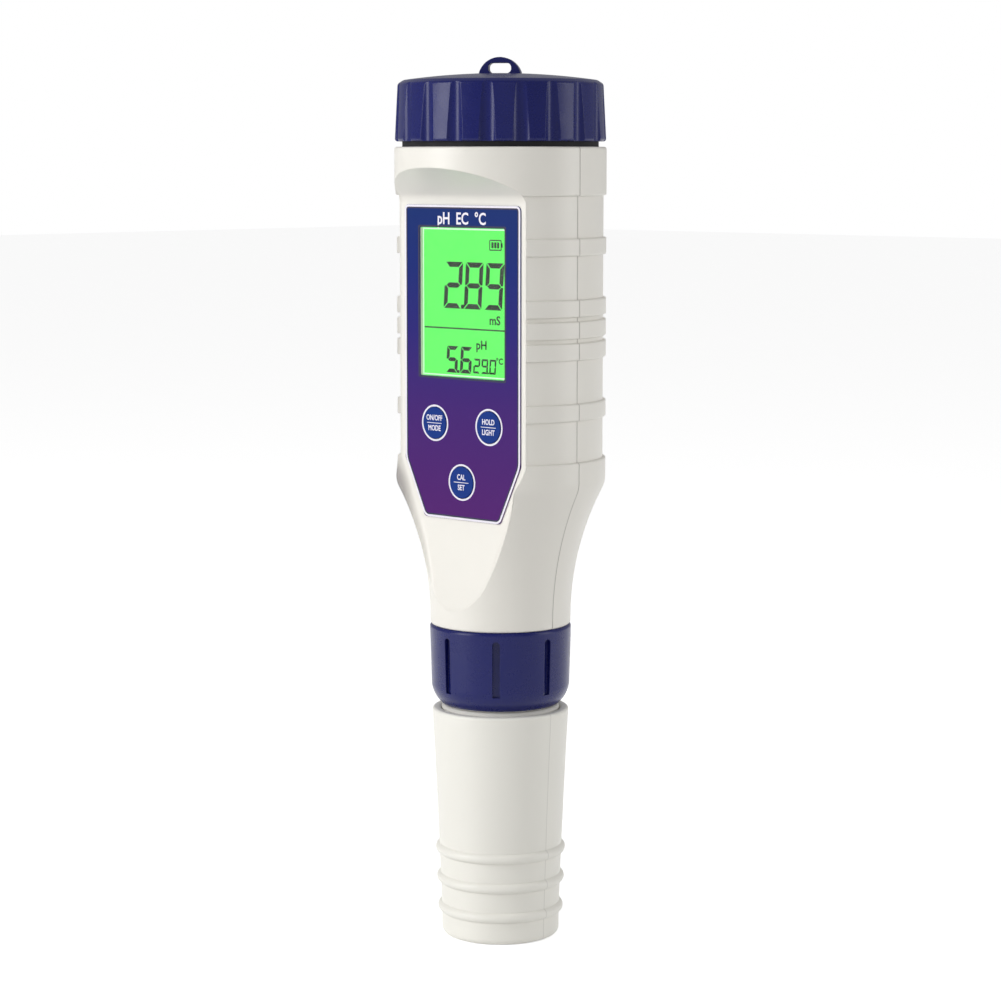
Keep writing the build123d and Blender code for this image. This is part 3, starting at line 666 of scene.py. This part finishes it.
def figures(name, text, look):
    # a row of figures, dark bars over a pale edge
    dark = bmesh.new()
    pale = bmesh.new()
    left, low = look["place"]
    for mark in text:
        if mark == ".":
            shapes = [rectangle(0, look["dot"], 0, look["dot"])]
            startX = left - look["pitch"] + look["width"] + look["dotShift"]
        else:
            shapes = [barCorners(bar, look) for bar in litBars[mark]]
            startX = left
            left += look["pitch"]
        for shape in shapes:
            corners = [(startX + x + z * look["slant"], low + z) for x, z in shape]
            flatFace(dark, corners, glassFace + barShape["lift"])
            flatFace(pale, corners, glassFace)
    if look["edge"]:
        bmesh.ops.recalc_face_normals(pale, faces=pale.faces[:])
        for face in pale.faces[:]:
            inset(pale, [face], -look["edge"])
        thicken(pale, barShape["edgeRise"])
        newPiece(name + "_edge", pale, *paleOnDisplay)
    else:
        pale.free()
    thicken(dark, printRise)
    newPiece(name, dark, *darkOnDisplay)


mainFigures = {
    "place": (-5.4, 121.3), "width": 4.5, "height": 8.7, "pitch": 5.25, "thick": 0.95,
    "gap": 0.16, "slant": 0.07, "edge": 0.2, "dot": 0.75, "dotShift": 0.0,
}
figures("conductivity_figures", "2.89", mainFigures)
lowerFigures = {
    "place": (-4.8, 109.2), "width": 2.9, "height": 5.0, "pitch": 3.6, "thick": 0.72,
    "gap": 0.1, "slant": 0.07, "edge": 0.12, "dot": 0.55, "dotShift": 0.02,
}
figures("acidity_figures", "5.6", lowerFigures)
smallFigures = {
    "place": (2.25, 109.35), "width": 1.65, "height": 2.75, "pitch": 2.05, "thick": 0.36,
    "gap": 0.04, "slant": 0.07, "edge": 0, "dot": 0.3, "dotShift": 0.02,
}
figures("temperature_figures", "29.0", smallFigures)

# units on the display
unitMarks = {
    "unit_conductivity": ("mS", 2.3, (7.8, 119.3)),
    "unit_acidity": ("pH", 2.3, (4.4, 114.6)),
    "unit_temperature": ("°C", 1.6, (9.0, 111.8)),
}
for name, (words, size, place) in unitMarks.items():
    printedText(name, words, size, place, glassFace, *darkOnDisplay)

# line between the two rows of the display
dividerLook = {"left": -10.4, "right": 10.3, "middle": 117.55, "half": 0.13}
dividerLine = rectangle(
    dividerLook["left"],
    dividerLook["right"],
    dividerLook["middle"] - dividerLook["half"],
    dividerLook["middle"] + dividerLook["half"],
)
printedPatches("display_divider", [dividerLine], glassFace, *darkOnDisplay)

# battery sign: a case, three bars in it and a tip, measured from its middle
batterySign = {
    "place": (8.0, 133.3), "left": 1.6, "right": 1.5, "half": 1.0, "line": (0, 0.22),
    "corner": 0.25, "bars": 3, "firstBar": 1.05, "barPitch": 0.72, "barWidth": 0.52,
    "barHalf": 0.55, "tip": 1.75, "tipHalf": 0.4,
}
signX, signZ = batterySign["place"]
caseLeft, caseRight = signX - batterySign["left"], signX + batterySign["right"]
printedLine(
    "battery_sign_case",
    rectangle(caseLeft, caseRight, signZ - batterySign["half"], signZ + batterySign["half"]),
    glassFace, batterySign["line"], batterySign["corner"], *darkOnDisplay,
)
signParts = []
for step in range(batterySign["bars"]):
    barLeft = signX - batterySign["firstBar"] + step * batterySign["barPitch"]
    barHalf = batterySign["barHalf"]
    signParts.append(
        rectangle(barLeft, barLeft + batterySign["barWidth"], signZ - barHalf, signZ + barHalf)
    )
tipHalf = batterySign["tipHalf"]
signParts.append(
    rectangle(caseRight, signX + batterySign["tip"], signZ - tipHalf, signZ + tipHalf)
)
printedPatches("battery_sign_fill", signParts, glassFace, *darkOnDisplay)

# heading over the window: plain units
heading = {"words": "pH  EC  °C", "size": 2.7, "place": (0, 138.0), "tall": 1.15}
printedText(
    "heading_units", heading["words"], heading["size"], heading["place"], labelFace,
    *whiteOnLabel, heading["tall"],
)
print("display drawn")

# buttons: a printed ring on the label, two words and a bar on each dome
ringLook = {"outer": 3.46, "width": 0.34, "steps": 64}
wordLook = {"size": 1.15, "tall": 1.25, "upper": 0.95, "under": 1.0}
barLook = {"half": 1.9, "thinHalf": 0.06}
buttonWords = {
    "button_left": ("ON/OFF", "MODE"),
    "button_right": ("HOLD", "LIGHT"),
    "button_lower": ("CAL", "SET"),
}
for button, (upper, under) in buttonWords.items():
    low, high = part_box(button)
    middleX = (low.x + high.x) / 2 / mm
    middleZ = (low.z + high.z) / 2 / mm
    front = -low.y / mm
    whiteOnButton = (button, whiteInk, "button_blue")
    ring = bmesh.new()
    for radius in (ringLook["outer"], ringLook["outer"] - ringLook["width"]):
        bmesh.ops.create_circle(ring, segments=ringLook["steps"], radius=radius * mm)
    bmesh.ops.bridge_loops(ring, edges=ring.edges[:])
    moved = Matrix.Translation((middleX * mm, -labelFace * mm, middleZ * mm))
    bmesh.ops.transform(ring, matrix=moved @ facing, verts=ring.verts[:])
    thicken(ring, printRise)
    newPiece(button + "_ring", ring, *whiteOnLabel)
    for ending, words, level in (
        ("_upper", upper, middleZ + wordLook["upper"]),
        ("_under", under, middleZ - wordLook["under"]),
    ):
        printedText(
            button + ending, words, wordLook["size"], (middleX, level), front,
            *whiteOnButton, wordLook["tall"],
        )
    bar = rectangle(
        middleX - barLook["half"],
        middleX + barLook["half"],
        middleZ - barLook["thinHalf"],
        middleZ + barLook["thinHalf"],
    )
    printedPatches(button + "_bar", [bar], front, *whiteOnButton)
print("buttons marked")

# threads that hold the battery cap and the collar
threadLook = {
    "pitch": 2.5, "height": 0.3, "turns": 1.75, "sunk": 0.15, "foot": 0.28, "crest": 0.1,
    "steps": 72,
}
threads = {
    "cap_thread": {"radius": 16.6, "low": 152.9},
    "neck_thread": {"radius": 11.3, "low": 54.2},
}


def screwThread(name, radius, low, body, material, slot):
    # a raised thread: a small wedge turned round the axis while it climbs
    steps, turns, pitch = threadLook["steps"], threadLook["turns"], threadLook["pitch"]
    foot, crest = radius - threadLook["sunk"], radius + threadLook["height"]
    footHalf, crestHalf = pitch * threadLook["foot"], pitch * threadLook["crest"]
    profile = [(foot, -footHalf), (crest, -crestHalf), (crest, crestHalf), (foot, footHalf)]
    build = bmesh.new()
    wedge = build.faces.new([build.verts.new((r * mm, 0, (low + z) * mm)) for r, z in profile])
    bmesh.ops.spin(
        build,
        geom=[wedge] + wedge.edges[:] + wedge.verts[:],
        cent=(0, 0, 0),
        axis=(0, 0, 1),
        dvec=(0, 0, pitch * mm / steps),
        angle=2 * pi * turns,
        steps=int(steps * turns),
        use_duplicate=False,
    )
    return newPiece(name, build, body, material, slot, True)


for name, thread in threads.items():
    screwThread(name, thread["radius"], thread["low"], "housing", shellPlastic, "shell_white")

# damp sponge in the bottom of the protective cap
foamLook = {
    "scale": 1400.0, "dark": srgb(214, 196, 120), "light": srgb(238, 226, 165),
    "rough": 0.85, "swing": 0.1, "bump": 0.8, "depth": 0.15,
}
foam = Finish("spongeFoam")
cells = foam.add("ShaderNodeTexVoronoi", None, {"Vector": foam.point(), "Scale": foamLook["scale"]})
foam.set(
    Base_Color=foam.mix(cells, foamLook["dark"], foamLook["light"]),
    Roughness=foamLook["rough"] + (cells - 0.5) * foamLook["swing"],
    Normal=foam.bump(cells, foamLook["bump"], foamLook["depth"]),
)
spongeLook = {
    "sides": 48, "width": 0.985, "height": 0.94, "round": 0.8, "roundSteps": 3, "level": 1e-6,
}
spongeLow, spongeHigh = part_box("storage_sponge")
spongeRadius = (spongeHigh.x - spongeLow.x) / 2 * spongeLook["width"]
spongeHeight = (spongeHigh.z - spongeLow.z) * spongeLook["height"]
sponge = bmesh.new()
bmesh.ops.create_cone(
    sponge, cap_ends=True, segments=spongeLook["sides"], radius1=spongeRadius,
    radius2=spongeRadius, depth=spongeHeight,
)
rims = [
    side for side in sponge.edges
    if abs(side.verts[0].co.z - side.verts[1].co.z) < spongeLook["level"]
]
bmesh.ops.bevel(
    sponge, geom=rims, offset=spongeLook["round"] * mm, offset_type="OFFSET",
    segments=spongeLook["roundSteps"], profile=0.5, affect="EDGES", material=-1,
)
spongeMiddle = (spongeLow.z + spongeHigh.z) / 2
bmesh.ops.translate(sponge, verts=sponge.verts[:], vec=(0, 0, spongeMiddle))
spongePiece = newPiece("sponge_disc", sponge, "protective_cap", foam.material, "sponge_foam", True)
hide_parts("storage_sponge")
print("threads and sponge made")

# floor: lifted towards white for the camera and in gloss, and it keeps the shadow
floorLook = {
    "size": 4, "lift": 0.6, "rough": 0.9, "scale": 30, "dark": (0.8, 0.8, 0.8),
    "light": (0.82, 0.82, 0.82),
}
floorBuild = bmesh.new()
bmesh.ops.create_grid(floorBuild, x_segments=1, y_segments=1, size=floorLook["size"])
floorMesh = bpy.data.meshes.new("floor")
floorBuild.to_mesh(floorMesh)
floorBuild.free()
floor = bpy.data.objects.new("floor", floorMesh)
scene.collection.objects.link(floor)
paper = Finish("floorPaper")
cameraRay = paper.add("ShaderNodeLightPath", out="Is Camera Ray")
seen = paper.add("ShaderNodeLightPath", out="Is Glossy Ray") + cameraRay
paper.set(
    Base_Color=paper.mix(paper.noise(floorLook["scale"]), floorLook["dark"], floorLook["light"]),
    Roughness=floorLook["rough"],
    Emission_Color=paper.mix(seen, (0, 0, 0), (floorLook["lift"],) * 3),
    Emission_Strength=1.0,
)
floorMesh.materials.append(paper.material)

# world: even grey for lighting, white to the camera and through glass
worldLook = {"fill": 0.42, "seen": 1.0}
world = bpy.data.worlds.new("studio")
world.use_nodes = True
scene.world = world
room = world.node_tree
background = room.nodes["Background"]
rays = room.nodes.new("ShaderNodeLightPath")
either = room.nodes.new("ShaderNodeMath")
either.operation = "MAXIMUM"
room.links.new(rays.outputs["Is Camera Ray"], either.inputs[0])
room.links.new(rays.outputs["Is Transmission Ray"], either.inputs[1])
level = room.nodes.new("ShaderNodeMapRange")
level.inputs["To Min"].default_value = worldLook["fill"]
level.inputs["To Max"].default_value = worldLook["seen"]
room.links.new(either.outputs[0], level.inputs["Value"])
room.links.new(level.outputs[0], background.inputs["Strength"])
background.inputs["Color"].default_value = (1, 1, 1, 1)

# soft boxes, placed from the camera's side of the object
rightward = Vector((cos(turn), sin(turn), 0))
forward = Vector((-sin(turn), cos(turn), 0))
aim = Vector((0, 0, 85 * mm))
softBoxes = {
    "key": {
        "right": -0.75, "forward": -0.35, "up": 0.25, "width": 0.35, "height": 0.9, "power": 5.6,
    },
    "side": {
        "right": 0.7, "forward": -0.1, "up": 0.12, "width": 0.25, "height": 0.8, "power": 1.7,
    },
    "front": {
        "right": 0.1, "forward": -0.9, "up": 0.45, "width": 0.5, "height": 0.5, "power": 0.4,
    },
}
for name, box in softBoxes.items():
    light = bpy.data.lights.new(name, "AREA")
    light.shape = "RECTANGLE"
    light.size = box["width"]
    light.size_y = box["height"]
    light.energy = box["power"]
    lamp = bpy.data.objects.new(name, light)
    sideways = rightward * box["right"] + forward * box["forward"]
    lamp.location = aim + sideways + Vector((0, 0, box["up"]))
    lamp.rotation_euler = (aim - lamp.location).to_track_quat("-Z", "Y").to_euler()
    scene.collection.objects.link(lamp)
print("floor, world and lamps placed")
